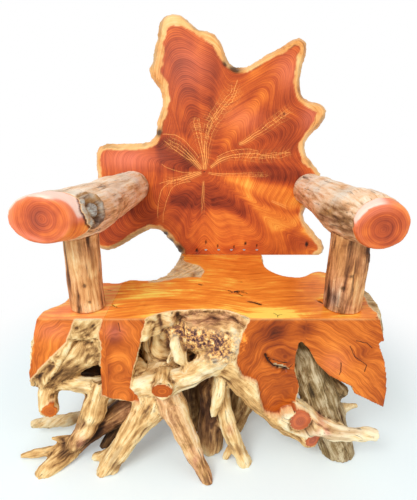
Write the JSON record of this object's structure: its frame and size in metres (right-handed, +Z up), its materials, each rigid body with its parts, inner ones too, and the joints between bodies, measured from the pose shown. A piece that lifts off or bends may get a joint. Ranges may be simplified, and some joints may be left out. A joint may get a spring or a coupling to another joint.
{
  "type": "root chair",
  "caption": "Armchair on a carved tree stump: sawn seat over spreading roots, a lobed slice of trunk as the back, and log arms on short posts.",
  "frame": {"origin": "middle of the floor rectangle under the whole chair", "axes": "+Z up, +Y towards the back, +X to the right as seen from the front"},
  "size_m": [1.0146, 0.7644, 1.2411],
  "materials": {
    "slab_wood": "polished heartwood with growth rings",
    "sawn_wood": "polished heartwood",
    "log_wood": "oiled, with streaks and knots",
    "root_wood": "carved and scraped, oiled",
    "weathered_wood": "weathered",
    "dark_wood": "rough, dark",
    "dowel_wood": "plain",
    "steel": "zinc plated"
  },
  "bodies": {
    "root": {"arch_leg": "root_wood", "arch_stub": "root_wood", "arch_top": "root_wood", "arm_dowels": "dowel_wood", "arm_left": "log_wood", "arm_plugs": "dowel_wood", "arm_right": "log_wood", "arm_screws": "steel", "back_dowels": "dowel_wood", "back_slab": "slab_wood", "bark_brow": "root_wood", "centre_leg": "root_wood", "foot_screws": "steel", "front_left_prong": "root_wood", "front_left_root": "root_wood", "front_strand": "root_wood", "grey_leg": "weathered_wood", "grey_lump": "weathered_wood", "grey_spur": "weathered_wood", "hanging_root": "root_wood", "hollow_wall": "root_wood", "inner_left_leg": "weathered_wood", "inner_right_leg": "dark_wood", "left_buttress": "sawn_wood", "left_cheek": "sawn_wood", "left_fork": "root_wood", "left_inner": "dark_wood", "left_runner": "weathered_wood", "left_shoulder": "root_wood", "left_stub": "root_wood", "post_foot_dowels": "dowel_wood", "post_left": "log_wood", "post_right": "log_wood", "prong_foot": "root_wood", "prong_long": "root_wood", "prong_tip": "root_wood", "rear_centre_leg": "root_wood", "rear_left_leg": "root_wood", "rear_left_spur": "root_wood", "rear_low_root": "dark_wood", "rear_right_leg": "root_wood", "rear_right_spur": "root_wood", "right_arm_root": "root_wood", "right_buttress": "sawn_wood", "right_cheek": "sawn_wood", "right_foot_prong": "root_wood", "right_foot_root": "root_wood", "right_sweep": "root_wood", "root_arch": "root_wood", "seam_dowels": "dowel_wood", "seat_block": "sawn_wood", "seat_dowels": "dowel_wood", "seat_end": "sawn_wood", "strand_fork": "root_wood", "stump_core": "root_wood", "sweep_knob": "root_wood", "tap_root": "dark_wood", "tongue_prop": "root_wood"}
  },
  "joints": []
}
